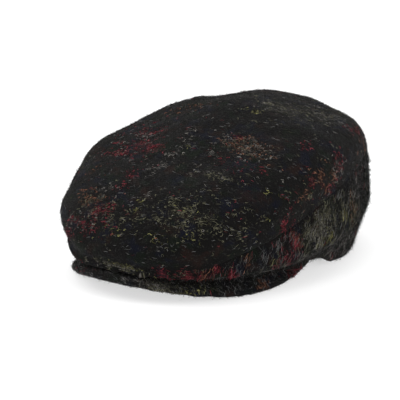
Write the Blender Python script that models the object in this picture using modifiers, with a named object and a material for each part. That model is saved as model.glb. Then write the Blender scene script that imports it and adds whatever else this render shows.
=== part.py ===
"""Flat cap of thick woven wool cloth, resting on a flat surface.

Metres, +Z up. The peak faces -Y and the wearer's left side is +X. The crown is one smooth
surface through named rings, cut along its sewn seam into a top panel and two side panels,
each an open surface given the cloth's thickness inwards. The hem is trimmed level with the
floor. The peak is a bent board under the front of the crown.
"""

import bpy
import numpy as np

# Cloth and board
CLOTH = 0.0022
PEAK_THICKNESS = 0.005
SEAM_GAP = 0.0006
SEAT_GAP = 0.0001
HEM_TRIM = 0.001

# Head opening, measured at the outside of the hem
HEAD_FRONT = 0.103
HEAD_BACK = 0.104
HEAD_HALF = 0.089
HEAD_SQUARENESS = 2.1

# Crown at its widest
CROWN_FRONT = 0.152
CROWN_BACK = 0.120
CROWN_HALF = 0.108
CROWN_SQUARENESS = 2.4
HEIGHT = 0.1257

# Peak: an ellipse in plan, arched across and falling towards the front
PEAK_FRONT = 0.1522
PEAK_HALF = 0.0918
PEAK_MIDDLE = 0.041
PEAK_LEDGE = 0.004
PEAK_FALL = 0.145
PEAK_ARCH = 0.0285

# Angles from the front, in degrees, between which the hem steps down from the peak to the floor
HEM_LEAVES = 84.0
HEM_LANDS = 104.0

# Rings of the crown from the hem up. Columns are five stations round the cap: front, front
# corner, side, back corner, back. Reach is a share of the crown's own reach in that
# direction, rise is a share of HEIGHT.
RING_REACH = {
    "band": (0.740, 0.765, 0.860, 0.850, 0.895),
    "crease": (0.830, 0.845, 0.905, 0.910, 0.950),
    "belly": (0.950, 0.960, 1.010, 0.970, 0.990),
    "seam": (0.960, 0.960, 0.965, 0.955, 0.985),
    "shoulder": (1.000, 1.005, 0.980, 0.920, 0.930),
    "brow": (0.880, 0.870, 0.850, 0.770, 0.795),
    "middle": (0.485, 0.485, 0.490, 0.450, 0.475),
}
RING_RISE = {
    "band": (0.285, 0.190, 0.090, 0.140, 0.145),
    "crease": (0.240, 0.170, 0.160, 0.255, 0.290),
    "belly": (0.185, 0.150, 0.220, 0.310, 0.345),
    "seam": (0.220, 0.295, 0.525, 0.635, 0.685),
    "shoulder": (0.290, 0.425, 0.665, 0.760, 0.785),
    "brow": (0.510, 0.645, 0.820, 0.875, 0.900),
    "middle": (0.765, 0.820, 0.930, 0.970, 0.990),
}

# Dents and folds, the same on both sides. Columns: across as a share of CROWN_HALF, back as a
# share of CROWN_BACK, up and spread as shares of HEIGHT, swell as a share of CLOTH.
FOLDS = {
    "top_dent": (0.38, 0.34, 0.94, 0.19, -1.3),
    "top_ridge": (0.00, 0.62, 0.96, 0.17, 0.8),
    "front_shoulder": (0.62, 0.04, 0.90, 0.13, 0.6),
    "brow_dent": (0.30, -0.62, 0.68, 0.20, -0.6),
    "back_swell": (0.86, 0.60, 0.31, 0.12, 0.8),
    "back_hollow": (0.60, 0.88, 0.52, 0.13, -0.7),
}

# Mesh steps
ANGLE_STEPS = 60
SPAN_STEPS = (2, 2, 2, 4, 3, 4, 3, 3)
SEAM_SPAN = 4
PEAK_STEPS = 6
EDGE_STEPS = 6

COLLECTION_NAME = "flat_cap"
CUTTER_COLLECTION_NAME = "flat_cap_cutters"


def clear_scene():
    """Remove every object that the scene starts with."""
    for item in list(bpy.data.objects):
        bpy.data.objects.remove(item, do_unlink=True)


def blended_reach(angles, front, back, half, squareness):
    """Reach from the middle of a rounded outline in each direction."""
    forward = np.cos(angles)
    along = np.where(forward > 0, front, back)
    sideways = np.abs(np.sin(angles)) / half
    lengthways = np.abs(forward) / along
    return (sideways**squareness + lengthways**squareness) ** (-1.0 / squareness)


def head_reach(angles):
    """Reach of the hem's outside."""
    return blended_reach(angles, HEAD_FRONT, HEAD_BACK, HEAD_HALF, HEAD_SQUARENESS)


def around(station_values, angles):
    """A smooth mirrored curve through values given at even stations from front to back."""
    values = np.array(station_values)
    orders = np.arange(len(values))
    stations = np.linspace(0.0, np.pi, len(values))
    weights = np.linalg.solve(np.cos(np.outer(stations, orders)), values)
    return np.cos(np.outer(angles, orders)) @ weights


def spline_weights(knots, positions):
    """Matrix that turns values at the knots into natural cubic spline values at positions."""
    count = len(knots)
    spans = np.diff(knots)
    system = np.eye(count)
    loads = np.zeros((count, count))
    for row in range(1, count - 1):
        before = spans[row - 1]
        after = spans[row]
        system[row, row - 1] = before
        system[row, row] = 2.0 * (before + after)
        system[row, row + 1] = after
        loads[row, row - 1] = 6.0 / before
        loads[row, row] = -6.0 / before - 6.0 / after
        loads[row, row + 1] = 6.0 / after
    bends = np.linalg.solve(system, loads)
    spot = np.clip(np.searchsorted(knots, positions, side="right") - 1, 0, count - 2)
    span = spans[spot]
    right = (positions - knots[spot]) / span
    left = 1.0 - right
    unit = np.eye(count)
    bend_left = ((left**3 - left) * span**2 / 6.0)[:, None] * bends[spot]
    bend_right = ((right**3 - right) * span**2 / 6.0)[:, None] * bends[spot + 1]
    return left[:, None] * unit[spot] + right[:, None] * unit[spot + 1] + bend_left + bend_right


def peak_fall(x, y):
    """Height of the board's middle surface above its height at the front of the head."""
    return PEAK_FALL * (y + HEAD_FRONT) - PEAK_ARCH * (x / PEAK_HALF) ** 2


def peak_steepness(x):
    """Vertical thickness of the board over its own thickness, which grows where it slopes."""
    across = 2.0 * PEAK_ARCH * x / PEAK_HALF**2
    return np.sqrt(1.0 + across**2 + PEAK_FALL**2)


def peak_outline(angles):
    """Reach of the peak's outer edge, an ellipse centred PEAK_MIDDLE in front of the origin."""
    deep = PEAK_FRONT - PEAK_MIDDLE
    forward = np.cos(angles)
    square = (np.sin(angles) / PEAK_HALF) ** 2 + (forward / deep) ** 2
    linear = -2.0 * forward * PEAK_MIDDLE / deep**2
    constant = (PEAK_MIDDLE / deep) ** 2 - 1.0
    return (-linear + np.sqrt(linear**2 - 4.0 * square * constant)) / (2.0 * square)


def peak_sections(angles):
    """Closed cross-sections of the board on rays from the origin, before it is set down."""
    inner = head_reach(angles) - PEAK_LEDGE
    outer = peak_outline(angles) - PEAK_THICKNESS / 2.0
    shares = np.linspace(0.0, 1.0, PEAK_STEPS + 1)
    reach = inner[:, None] + (outer - inner)[:, None] * shares
    ray_x = np.sin(angles)[:, None]
    ray_y = -np.cos(angles)[:, None]
    middle = peak_fall(reach * ray_x, reach * ray_y)
    slope_x = -2.0 * PEAK_ARCH * reach * ray_x / PEAK_HALF**2
    slope = slope_x * ray_x + PEAK_FALL * ray_y
    tilt = np.arctan(slope)
    half = PEAK_THICKNESS / 2.0
    top_reach = reach - half * np.sin(tilt)
    top_height = middle + half * np.cos(tilt)
    low_reach = reach + half * np.sin(tilt)
    low_height = middle - half * np.cos(tilt)
    turn = np.pi / 2.0 - np.pi * np.arange(1, EDGE_STEPS) / EDGE_STEPS + tilt[:, -1:]
    edge_reach = reach[:, -1:] + half * np.cos(turn)
    edge_height = middle[:, -1:] + half * np.sin(turn)
    loop_reach = np.hstack([top_reach, edge_reach, low_reach[:, ::-1]])
    loop_height = np.hstack([top_height, edge_height, low_height[:, ::-1]])
    return np.stack([loop_reach * ray_x, loop_reach * ray_y, loop_height], axis=-1)


def crown_angles():
    """Even directions round the cap, starting at the front and turning to the wearer's left."""
    return np.arange(ANGLE_STEPS) * 2.0 * np.pi / ANGLE_STEPS


def peak_angles():
    """The crown's directions over the peak, ending where its outline meets the hem."""
    fine = np.linspace(0.0, np.radians(HEM_LEAVES), 400)
    beyond = peak_outline(fine) - head_reach(fine)
    tip = fine[np.argmax(beyond < 0.0)] if beyond[-1] < 0.0 else fine[-1]
    step = 2.0 * np.pi / ANGLE_STEPS
    whole = np.arange(0.0, tip - step / 2.0, step)
    side = np.append(whole, tip)
    return np.concatenate([-side[:0:-1], side])


def peak_set_down():
    """How far the board is lifted so that its low edges touch the floor."""
    return -peak_sections(peak_angles())[..., 2].min()


def seat_height(x, y, lift):
    """Height of the hem: on the peak at the front, just below the floor at the back."""
    angle = np.degrees(np.arctan2(np.abs(x), -y))
    share = np.clip((HEM_LANDS - angle) / (HEM_LANDS - HEM_LEAVES), 0.0, 1.0)
    hold = share * share * (3.0 - 2.0 * share)
    inwards = 1.0 - CLOTH / np.hypot(x, y)
    middle = peak_fall(x * inwards, y * inwards) + lift
    top = middle + PEAK_THICKNESS / 2.0 * peak_steepness(x)
    return hold * (top + SEAT_GAP + HEM_TRIM) - HEM_TRIM


def add_folds(points, positions):
    """Push the surface out or in along its normals at each fold."""
    lean = surface_normals(points, positions)
    moved = points.copy()
    for across, back, up, spread, swell in FOLDS.values():
        for side in (-1.0, 1.0) if across else (1.0,):
            centre = np.array([side * across * CROWN_HALF, back * CROWN_BACK, up * HEIGHT])
            far = np.linalg.norm(points - centre, axis=-1) / (spread * HEIGHT)
            moved += (swell * CLOTH * np.exp(-far * far))[..., None] * lean
    return moved


def surface_normals(points, positions):
    """Unit normals, pointing out, of a grid that closes on itself round the cap."""
    round_way = np.roll(points, -1, axis=0) - np.roll(points, 1, axis=0)
    up_way = np.gradient(points, positions, axis=1)
    normals = np.cross(round_way, up_way)
    normals[:, -1] = normals[:, -2].sum(axis=0)
    return normals / np.linalg.norm(normals, axis=-1, keepdims=True)


def crown_surface(lift):
    """Outer grid of the whole crown, by direction and then by row from the hem."""
    angles = crown_angles()
    crown = blended_reach(angles, CROWN_FRONT, CROWN_BACK, CROWN_HALF, CROWN_SQUARENESS)
    hem = head_reach(angles)
    hem_height = seat_height(hem * np.sin(angles), -hem * np.cos(angles), lift)
    reach = [hem] + [around(row, angles) * crown for row in RING_REACH.values()]
    rise = [hem_height] + [around(row, angles) * HEIGHT for row in RING_RISE.values()]
    reach = np.stack(reach + [np.zeros_like(angles)], axis=1)
    rise = np.stack(rise + [np.full_like(angles, HEIGHT)], axis=1)
    opposite = ANGLE_STEPS // 2
    reach = np.column_stack([reach, -np.roll(reach[:, -2], opposite)])
    rise = np.column_stack([rise, np.roll(rise[:, -2], opposite)])
    chords = np.hypot(np.diff(reach, axis=1), np.diff(rise, axis=1)).mean(axis=0)
    knots = np.append(0.0, np.cumsum(chords))
    positions = row_positions(knots)
    weights = spline_weights(knots, positions)
    reach = reach @ weights.T
    rise = rise @ weights.T
    x = reach * np.sin(angles)[:, None]
    y = -reach * np.cos(angles)[:, None]
    return add_folds(np.stack([x, y, rise], axis=-1), positions)


def row_positions(knots):
    """Rows between the knots, with the seam row doubled to leave the seam's gap."""
    rows = []
    for span, steps in enumerate(SPAN_STEPS):
        stretch = np.linspace(knots[span], knots[span + 1], steps + 1)
        if span == SEAM_SPAN - 1:
            stretch[-1] -= SEAM_GAP / 2.0
        if span == SEAM_SPAN:
            stretch[0] += SEAM_GAP / 2.0
        keeps_end = span in (SEAM_SPAN - 1, len(SPAN_STEPS) - 1)
        rows.extend(stretch if keeps_end else stretch[:-1])
    return np.array(rows)


def side_rows():
    """Number of rows in a side panel."""
    return sum(SPAN_STEPS[:SEAM_SPAN]) + 1


def quads(index):
    """Faces between neighbouring rows and columns of an index grid, turned to face out."""
    corners = np.stack([index[:-1, :-1], index[1:, :-1], index[1:, 1:], index[:-1, 1:]], axis=-1)
    return corners.reshape(-1, 4).tolist()


def without_repeats(faces):
    """Faces with repeated corners dropped, as where a row closes to a point."""
    return [tuple(dict.fromkeys(face)) for face in faces]


def add_object(name, vertices, faces, material, collection):
    """Make one mesh object with its own material."""
    mesh = bpy.data.meshes.new(name)
    mesh.from_pydata(vertices.tolist(), [], faces)
    mesh.update()
    mesh.polygons.foreach_set("use_smooth", [True] * len(mesh.polygons))
    mesh.materials.append(material)
    item = bpy.data.objects.new(name, mesh)
    collection.objects.link(item)
    return item


def cloth_material(name, colour):
    """A rough cloth of one colour."""
    material = bpy.data.materials.new(name)
    material.use_nodes = True
    shader = material.node_tree.nodes["Principled BSDF"]
    shader.inputs["Base Color"].default_value = (*colour, 1.0)
    shader.inputs["Roughness"].default_value = 0.95
    return material


def add_cloth(name, surface, faces, colour, collection):
    """A panel of cloth: an open surface made CLOTH thick on its inner side."""
    item = add_object(name, surface, faces, cloth_material(name + "_cloth", colour), collection)
    wall = item.modifiers.new("Cloth", "SOLIDIFY")
    wall.thickness = CLOTH
    wall.offset = -1.0
    wall.use_even_offset = True
    wall.use_quality_normals = True
    return item


def add_crown_top(crown, collection):
    """The large top panel, from the seam up to the middle of the crown."""
    grid = crown[:, side_rows() : -1]
    rows = grid.shape[1]
    index = np.arange(ANGLE_STEPS * rows).reshape(ANGLE_STEPS, rows)
    index = np.column_stack([index, np.full(ANGLE_STEPS, index.size)])
    faces = without_repeats(quads(np.vstack([index, index[:1]])))
    surface = np.vstack([grid.reshape(-1, 3), crown[:1, -1]])
    return add_cloth("crown_top", surface, faces, (0.070, 0.066, 0.062), collection)


def add_side_panel(name, crown, side, cutter, collection):
    """One side panel from the hem to the seam, the right one as the mirror of the left."""
    grid = crown[: ANGLE_STEPS // 2 + 1, : side_rows()].copy()
    grid[[0, -1], :, 0] = SEAM_GAP / 2.0
    faces = quads(np.arange(grid[..., 0].size).reshape(grid.shape[:2]))
    surface = grid.reshape(-1, 3)
    if side < 0:
        surface = surface * (-1.0, 1.0, 1.0)
        faces = [[a, d, c, b] for a, b, c, d in faces]
    item = add_cloth(name, surface, faces, (0.078, 0.074, 0.064), collection)
    trim = item.modifiers.new("Hem trim", "BOOLEAN")
    trim.operation = "DIFFERENCE"
    trim.object = cutter
    return item


def add_floor_cutter(collection):
    """A block whose top is the floor, which trims the hem level."""
    bpy.ops.mesh.primitive_cube_add(size=1.0, location=(0.0, 0.0, -0.5))
    cutter = bpy.context.active_object
    cutter.name = "floor_cutter"
    for holder in list(cutter.users_collection):
        holder.objects.unlink(cutter)
    collection.objects.link(cutter)
    cutter.hide_render = True
    cutter.display_type = "WIRE"
    return cutter


def add_peak(lift, collection):
    """The stiff peak: a bent board with a rounded outer edge."""
    sections = peak_sections(peak_angles())
    sections[..., 2] += lift
    count, around_count = sections.shape[:2]
    index = np.arange(count * around_count).reshape(count, around_count)
    closed = np.hstack([index, index[:, :1]])
    faces = quads(closed[:, ::-1])
    faces.append(index[0, ::-1].tolist())
    faces.append(index[-1].tolist())
    material = cloth_material("peak_cloth", (0.058, 0.054, 0.052))
    return add_object("peak", sections.reshape(-1, 3), faces, material, collection)


def main():
    """Build the cap, centred over the origin in plan."""
    clear_scene()
    collection = bpy.data.collections.new(COLLECTION_NAME)
    cutters = bpy.data.collections.new(CUTTER_COLLECTION_NAME)
    bpy.context.scene.collection.children.link(collection)
    bpy.context.scene.collection.children.link(cutters)
    lift = peak_set_down()
    crown = crown_surface(lift)
    cutter = add_floor_cutter(cutters)
    items = [
        add_crown_top(crown, collection),
        add_side_panel("side_left", crown, 1, cutter, collection),
        add_side_panel("side_right", crown, -1, cutter, collection),
        add_peak(lift, collection),
    ]
    lengthways = np.append(crown[..., 1].ravel(), -PEAK_FRONT)
    for item in items:
        item.location.y = -(lengthways.min() + lengthways.max()) / 2.0


main()
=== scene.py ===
"""Flat cap of thick plaid wool tweed, resting on a pale floor.

Metres, +Z up. The peak faces -Y and the wearer's left side is +X. The crown is one smooth
surface through named rings, cut along its sewn seam into a top panel and two side panels. Each
panel is a closed shell of cloth with rounded edges, pulled in where it is sewn. The peak is a
bent board under the front of the crown. The plaid is charted on the unrolled cloth. Its
weave and small flecks are nodes, and its nap, curls and combed strands are real geometry. The
panels' shapes are worked out here, without a cloth simulation.
"""

from __future__ import annotations

import logging
from dataclasses import dataclass
from enum import Enum
from typing import Any, NamedTuple, Sequence

import bpy
import numpy as np
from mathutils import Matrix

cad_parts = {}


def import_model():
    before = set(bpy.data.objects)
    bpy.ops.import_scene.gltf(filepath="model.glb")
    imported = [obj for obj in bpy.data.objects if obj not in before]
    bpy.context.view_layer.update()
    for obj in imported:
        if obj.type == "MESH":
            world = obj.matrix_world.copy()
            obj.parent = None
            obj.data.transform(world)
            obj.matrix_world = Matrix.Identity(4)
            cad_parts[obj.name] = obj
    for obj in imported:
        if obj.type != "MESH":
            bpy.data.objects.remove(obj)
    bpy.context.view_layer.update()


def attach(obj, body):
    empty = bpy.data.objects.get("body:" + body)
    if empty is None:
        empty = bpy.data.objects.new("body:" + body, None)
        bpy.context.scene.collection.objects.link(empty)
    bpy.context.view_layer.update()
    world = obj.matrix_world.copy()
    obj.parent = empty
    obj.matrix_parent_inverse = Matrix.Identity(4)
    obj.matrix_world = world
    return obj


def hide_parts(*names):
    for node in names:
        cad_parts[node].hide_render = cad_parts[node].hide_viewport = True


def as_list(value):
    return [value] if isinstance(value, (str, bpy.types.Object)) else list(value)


LOG = logging.getLogger("flat_cap")
Array = np.ndarray
Chance = np.random.Generator
Ripples = tuple[tuple[float, float, int], ...]
WHITE = (1.0, 1.0, 1.0)
NAP_TINT = (1.0, 0.99, 0.96)
STRAND_GREY = (0.070, 0.070, 0.070)
RAISED = 5  # yarns that are raised as strands: all but the last
WAVES = 18  # cosine waves in one ripple
CLUMP_SEED = 51
EDGE_ROWS = (0.0, 0.13, 0.5, 1.0, 1.8, 2.9)  # fine rows at an edge, in half thicknesses
SOFTENING = ((-2, 0.11), (-1, 0.24), (0, 0.30), (1, 0.24), (2, 0.11))  # shifts and weights


class Side(Enum):
    """A half of the cap, with its panel's first and last turn in half circles from the front."""

    LEFT = (0, 1)
    RIGHT = (1, 2)


class Yarn(Enum):
    """Colours of the plaid's yarns, in linear light."""

    RED = (0.110, 0.018, 0.023)
    ORANGE = (0.125, 0.058, 0.036)
    OLIVE = (0.074, 0.071, 0.047)
    CREAM = (0.116, 0.109, 0.100)
    YELLOW = (0.180, 0.172, 0.064)
    BLUE = (0.010, 0.012, 0.024)


class Patch(NamedTuple):
    """One spot of coloured yarn on the unrolled cloth, in centimetres from the crown's middle.

    across is towards the wearer's left and back is towards the back of the cap.
    """

    across: float
    back: float
    half_across: float
    half_back: float
    share: float


class Stripe(NamedTuple):
    """One stripe of the plaid that runs on where no patch is charted, in centimetres."""

    middle: float
    half: float
    share: float


class Swell(NamedTuple):
    """A soft swell or dent at a point, pushed along the surface's normal.

    across, back and up are shares of the crown's half width, back reach and height, spread is a
    share of the height, and swell is a share of the cloth's thickness. A paired swell is on both
    sides.
    """

    across: float
    back: float
    up: float
    spread: float
    swell: float
    paired: bool = False


class Pull(NamedTuple):
    """A place where the cloth is drawn bodily to one side, without change of its thickness.

    across, back and up are shares of the crown's half width, back reach and height, spread is a
    share of the height, and the draws are shares of the cloth's thickness.
    """

    across: float
    back: float
    up: float
    spread: float
    draw_across: float
    draw_back: float
    draw_up: float


# Each row is a Patch of its yarn, and in the next two tables a Stripe. The warp's middles are
# places across the cap, and the weft's are places back.
PATCHES: dict[Yarn, tuple[tuple[float, ...], ...]] = {
    Yarn.RED: (
        (-4.7, -4.6, 1.3, 0.6, 0.42), (-4.4, -6.4, 1.0, 0.5, 0.60), (-2.5, -7.3, 1.1, 0.6, 0.72),
        (-5.4, -8.0, 1.5, 0.4, 0.74), (-4.6, -6.2, 3.4, 2.6, 0.12), (-6.4, -2.4, 0.6, 0.4, 0.40),
        (-1.8, -11.0, 0.6, 0.6, 0.36), (-1.7, -12.6, 0.6, 0.7, 0.44),
        (-2.0, -14.8, 1.1, 0.7, 0.50), (-5.0, -15.7, 1.5, 0.5, 0.48),
        (-5.5, -16.8, 0.8, 0.4, 0.80), (-2.4, -16.3, 1.6, 0.6, 0.36), (4.0, -3.6, 0.6, 0.3, 0.60),
        (5.6, -6.6, 1.9, 1.0, 0.20), (8.2, -6.2, 0.6, 0.4, 0.40), (6.1, -18.6, 0.8, 0.5, 1.10),
        (8.7, -17.7, 0.8, 0.5, 1.30), (9.8, -16.8, 0.7, 0.5, 0.70), (10.6, -15.5, 0.5, 0.3, 1.10),
        (12.2, -14.9, 0.7, 0.4, 1.50), (12.9, -7.5, 0.7, 0.4, 0.70), (13.4, -8.0, 0.6, 0.5, 0.60),
        (14.8, -6.9, 1.0, 0.6, 0.55), (15.5, -8.4, 0.7, 0.9, 0.50), (15.4, -10.3, 0.5, 0.6, 0.44),
        (11.4, 1.2, 0.9, 0.9, 0.42), (13.2, -0.6, 0.5, 1.0, 0.66), (11.7, -3.1, 0.4, 0.4, 0.90),
        (9.2, -1.3, 0.5, 0.5, 0.34), (8.7, 6.3, 0.5, 1.2, 0.60), (-12.4, -7.6, 1.0, 0.9, 0.60),
        (-15.2, 3.6, 1.0, 1.2, 0.60), (-3.0, 14.6, 1.4, 0.9, 0.60), (7.2, 13.4, 1.1, 1.1, 0.60),
        (9.0, -33.2, 0.4, 1.0, 0.80), (-2.4, -44.4, 1.4, 0.6, 0.34), (-8.2, -37.0, 0.8, 1.4, 0.40),
    ),
    Yarn.ORANGE: (
        (-4.0, -0.7, 2.0, 0.6, 0.22), (-6.4, -10.5, 0.6, 0.5, 0.65), (-5.5, -12.9, 0.9, 0.5, 0.26),
        (-4.2, -14.1, 1.6, 0.6, 0.40), (4.5, -4.7, 1.7, 0.8, 0.24), (5.8, -3.3, 1.0, 0.5, 0.20),
        (6.0, -4.3, 1.9, 0.9, 0.24), (9.8, -16.8, 0.7, 0.5, 0.60), (12.7, -13.0, 0.6, 0.4, 0.36),
        (15.0, -6.7, 0.9, 0.5, 0.30), (12.3, -0.2, 0.9, 0.9, 0.34), (11.8, -2.0, 0.9, 1.1, 0.36),
        (12.4, -4.7, 0.8, 0.8, 0.40), (9.6, 6.6, 0.7, 1.6, 0.28), (15.3, 3.6, 0.9, 0.9, 0.22),
        (-15.7, -5.0, 0.9, 1.2, 0.36), (-6.6, 12.6, 1.2, 1.0, 0.40), (8.7, -36.8, 0.5, 0.6, 0.80),
    ),
    Yarn.OLIVE: (
        (-3.6, -14.2, 1.9, 0.8, 0.38), (0.4, -15.6, 2.4, 1.1, 0.24), (5.0, -4.4, 2.0, 1.0, 0.26),
        (6.0, -8.7, 1.4, 0.5, 0.50), (7.2, -10.7, 1.8, 0.5, 0.30), (6.8, -12.7, 2.0, 0.9, 0.40),
        (4.4, -12.8, 0.9, 0.8, 0.32), (5.0, -14.3, 2.3, 1.0, 0.24), (5.2, -14.0, 2.6, 1.1, 0.12),
        (1.8, -19.2, 3.2, 0.3, 0.90), (7.6, -17.9, 0.6, 0.4, 0.52), (10.2, -10.8, 1.8, 1.4, 0.20),
        (10.6, -11.6, 0.8, 0.7, 0.30), (12.7, -4.0, 0.5, 0.4, 0.50), (3.8, 2.2, 2.0, 2.2, 0.28),
        (5.2, 5.2, 2.2, 2.4, 0.26), (15.4, 0.9, 1.0, 1.2, 0.34), (14.9, -1.7, 0.8, 1.3, 0.84),
        (15.7, -3.6, 0.8, 1.6, 0.84), (15.0, -5.0, 0.8, 0.8, 0.40), (16.4, -5.8, 0.5, 0.9, 0.44),
        (15.6, 3.8, 1.2, 1.6, 0.30), (-14.9, -1.7, 0.9, 1.3, 0.80), (-9.4, 6.4, 0.9, 1.3, 0.50),
        (3.4, 15.2, 1.5, 0.8, 0.80), (-10.4, 10.6, 1.2, 1.0, 0.70), (-1.4, 8.6, 1.6, 0.7, 0.40),
        (4.4, -43.6, 1.6, 0.9, 1.00), (6.4, -41.0, 0.8, 1.0, 0.40), (-6.0, -42.0, 1.6, 1.6, 0.34),
        (0.0, -38.0, 3.0, 2.0, 0.24),
    ),
    Yarn.CREAM: (
        (-4.9, -4.9, 1.5, 0.5, 0.30), (-4.6, -6.6, 3.2, 2.4, 0.10), (-2.8, -12.8, 1.0, 0.6, 0.28),
        (-4.0, -15.9, 2.2, 0.8, 0.22), (0.0, -6.4, 0.6, 3.6, 0.34), (0.0, -9.6, 0.6, 0.7, 0.30),
        (1.6, -12.7, 0.5, 0.5, 0.42), (6.2, -4.2, 1.9, 0.9, 0.26), (3.3, -4.6, 1.0, 0.8, 0.26),
        (3.3, -6.4, 0.9, 0.5, 0.44), (4.8, -8.3, 1.9, 0.6, 0.26), (1.4, -19.3, 3.0, 0.2, 0.60),
        (11.8, 0.8, 1.0, 1.2, 0.22), (9.0, 0.3, 0.7, 0.6, 0.34), (3.8, 1.8, 1.4, 1.2, 0.30),
        (6.4, 5.0, 1.6, 2.0, 0.24), (15.9, -3.4, 0.8, 1.6, 0.76), (17.6, -0.3, 0.4, 1.4, 0.42),
        (13.7, 4.0, 0.8, 1.0, 0.34), (-12.0, 1.2, 1.0, 1.0, 0.34), (0.4, 12.2, 1.5, 0.8, 0.34),
        # The cream patches from (15.4, -11.4) to (17.3, -4.9) are a painted highlight: a pale strip
        # along the rolled lower edge at the front of the wearer's left side, where the fuzz catches
        # the light.
        (-7.4, 3.6, 1.4, 0.9, 0.26), (15.4, -11.4, 0.4, 1.0, 0.60), (16.1, -9.6, 0.4, 1.0, 0.60),
        (17.4, -7.0, 0.5, 1.1, 0.70), (17.3, -4.9, 0.5, 1.0, 0.80), (19.4, 2.4, 1.0, 2.0, 0.60),
        (18.2, 7.6, 1.0, 2.0, 0.60), (3.2, -43.8, 1.6, 0.8, 1.00), (0.0, -44.6, 1.6, 0.6, 0.26),
    ),
    Yarn.YELLOW: (
        (0.7, -6.3, 0.2, 0.2, 0.90), (1.4, -13.3, 0.2, 0.2, 1.60), (1.4, -14.3, 0.2, 0.2, 0.90),
        (0.2, -16.4, 1.2, 0.5, 0.16), (7.0, -12.8, 1.7, 0.7, 0.06), (7.2, -14.6, 0.8, 0.4, 0.24),
        (4.6, -15.9, 1.0, 0.4, 0.22), (2.6, -19.1, 2.2, 0.2, 0.36), (10.0, -7.4, 0.2, 0.2, 0.50),
        (11.0, -6.8, 0.3, 0.2, 0.20), (11.6, -9.0, 0.3, 0.2, 0.42), (14.8, -10.4, 0.3, 0.4, 0.50),
        (2.8, 0.1, 0.5, 0.3, 0.30), (15.6, 1.3, 0.5, 0.6, 0.34), (17.0, -2.3, 0.5, 1.2, 0.34),
        (5.9, -42.4, 0.6, 0.6, 0.60),
    ),
    Yarn.BLUE: (
        (2.7, -10.2, 0.6, 0.6, 0.60), (5.4, -2.6, 1.6, 0.5, 0.50), (7.0, 1.6, 1.6, 1.0, 0.46),
        (2.0, 2.6, 0.8, 1.8, 0.40), (9.0, -8.4, 1.2, 1.0, 0.36),
    ),
}

WARP: dict[Yarn, tuple[tuple[float, ...], ...]] = {
    Yarn.RED: (
        (-16.4, 1.2, 0.8), (-4.7, 2.9, 0.7), (12.0, 1.4, 0.7), (19.6, 0.8, 0.5),
    ),
    Yarn.OLIVE: (
        (-11.6, 2.0, 0.8), (6.2, 2.6, 0.7), (15.8, 1.4, 0.7),
    ),
    Yarn.CREAM: (
        (0.1, 0.5, 0.6), (6.0, 2.2, 0.5), (-12.4, 1.6, 0.4),
    ),
}

WEFT: dict[Yarn, tuple[tuple[float, ...], ...]] = {
    Yarn.RED: (
        (-16.6, 0.7, 0.6), (-6.6, 1.6, 0.7), (6.6, 1.3, 0.8), (16.2, 1.4, 0.8),
    ),
    Yarn.OLIVE: (
        (-13.2, 1.3, 0.7), (-8.4, 0.9, 0.5), (1.8, 1.8, 0.6), (11.4, 1.8, 0.8),
    ),
    Yarn.CREAM: (
        (-4.4, 0.8, 0.6), (5.0, 0.9, 0.6), (18.6, 0.8, 0.5),
    ),
}

CROSSING = 0.14  # strength of a warp and a weft stripe where they cross
RUNNING = 0.005  # strength of a stripe by itself
CHARTED = 0.57  # strength of a patch
RED_RUN = 0.55  # the red stripes against the others
SCATTERED = {Yarn.RED: 0.002, Yarn.OLIVE: 0.003, Yarn.CREAM: 0.003}

SWELLS: tuple[Swell, ...] = (
    Swell(0.38, 0.34, 0.94, 0.19, -1.3, paired=True),
    Swell(0.00, 0.62, 0.96, 0.17, 0.8),
    Swell(0.62, 0.04, 0.90, 0.13, 0.6, paired=True),
    Swell(0.30, -0.62, 0.68, 0.20, -0.6, paired=True),
    Swell(0.86, 0.60, 0.31, 0.12, 0.8, paired=True),
    Swell(0.60, 0.88, 0.52, 0.13, -0.7, paired=True),
    Swell(-0.66, -0.10, 0.87, 0.20, -2.7),
    Swell(-0.88, -0.46, 0.68, 0.16, 1.7),
    Swell(0.89, 0.53, 0.42, 0.18, -3.7),
    Swell(0.80, 0.48, 0.12, 0.16, 2.2),
    Swell(0.06, 0.60, 0.99, 0.12, -1.5),
    Swell(-0.04, 0.46, 0.99, 0.10, 0.1),
    Swell(-0.40, 0.12, 0.97, 0.08, 0.8),
    Swell(-0.14, 0.24, 1.00, 0.16, -0.8),
    Swell(0.30, 0.61, 0.94, 0.12, -0.9),
)

PULLS: tuple[Pull, ...] = (
    Pull(-0.60, -0.98, 0.17, 0.17, 0.5, 0.8, 2.3),
    Pull(0.82, 0.14, 0.00, 0.12, 0.0, 0.0, 0.8),
)

# Turn from the front in degrees, and the ring that the seam follows there.
SEAM_COURSE: tuple[tuple[float, float], ...] = (
    (-180.0, 4.0),
    (-80.0, 4.0),
    (-62.0, 3.2),
    (-44.0, 1.8),
    (2.0, 1.8),
    (15.0, 3.1),
    (28.0, 3.7),
    (40.0, 4.0),
    (180.0, 4.0),
)


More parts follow.
